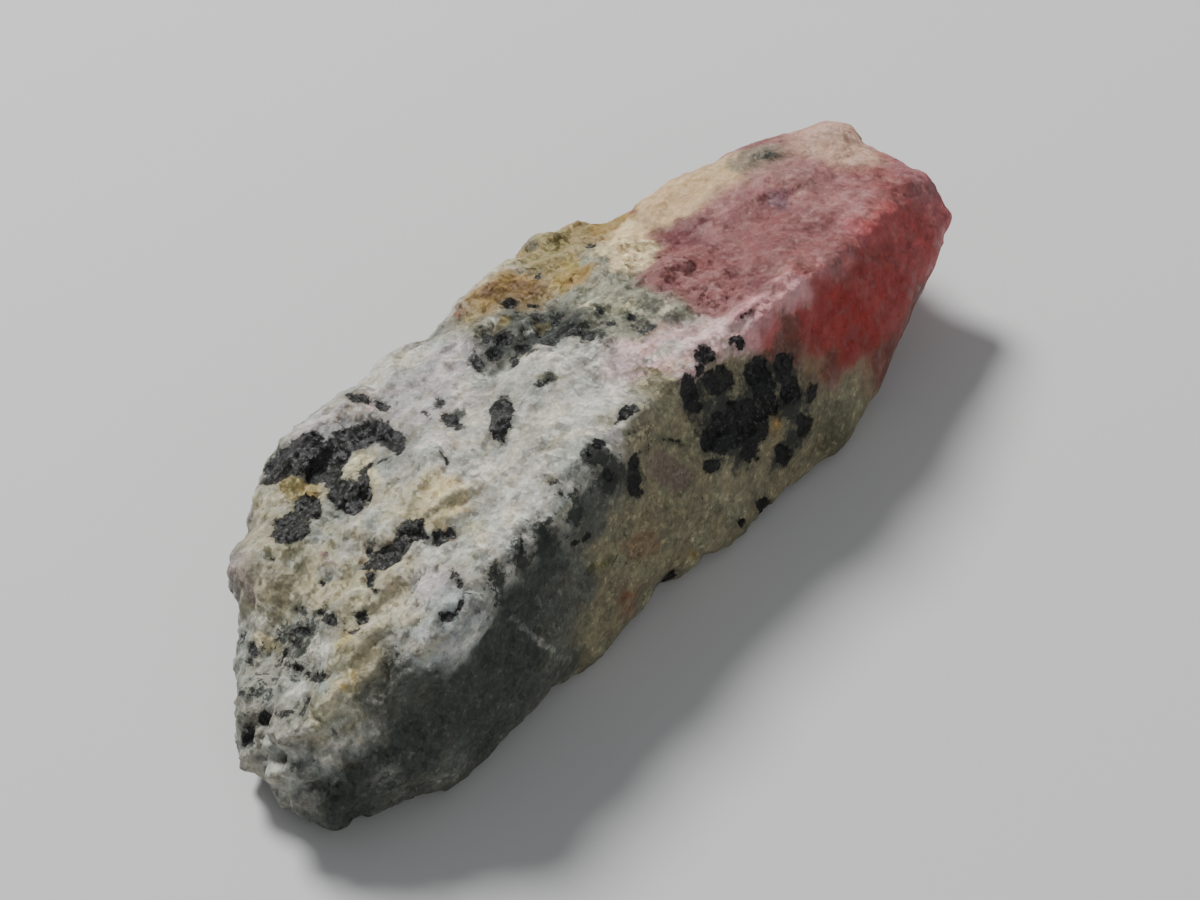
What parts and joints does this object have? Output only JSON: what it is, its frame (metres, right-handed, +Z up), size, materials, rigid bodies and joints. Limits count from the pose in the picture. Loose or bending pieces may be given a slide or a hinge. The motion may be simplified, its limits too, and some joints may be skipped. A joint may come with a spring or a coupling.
{
  "type": "tugtupite specimen",
  "caption": "Rough elongated mineral specimen: pale albite matrix with dark amphibole grains and a crimson-pink tugtupite end, lying on its flattest break.",
  "frame": {"origin": "centre of the bounding box in plan, on the surface that the stone rests on", "axes": "+X along the stone towards its pink end, +Y towards the back away from the steep side break, +Z up"},
  "size_m": [0.0462, 0.016, 0.0095],
  "materials": {
    "stone": "rough broken rock, white-grey albite with dark grains, crimson-pink tugtupite at one end"
  },
  "bodies": {
    "root": {"tugtupite_stone": "stone"}
  },
  "joints": []
}
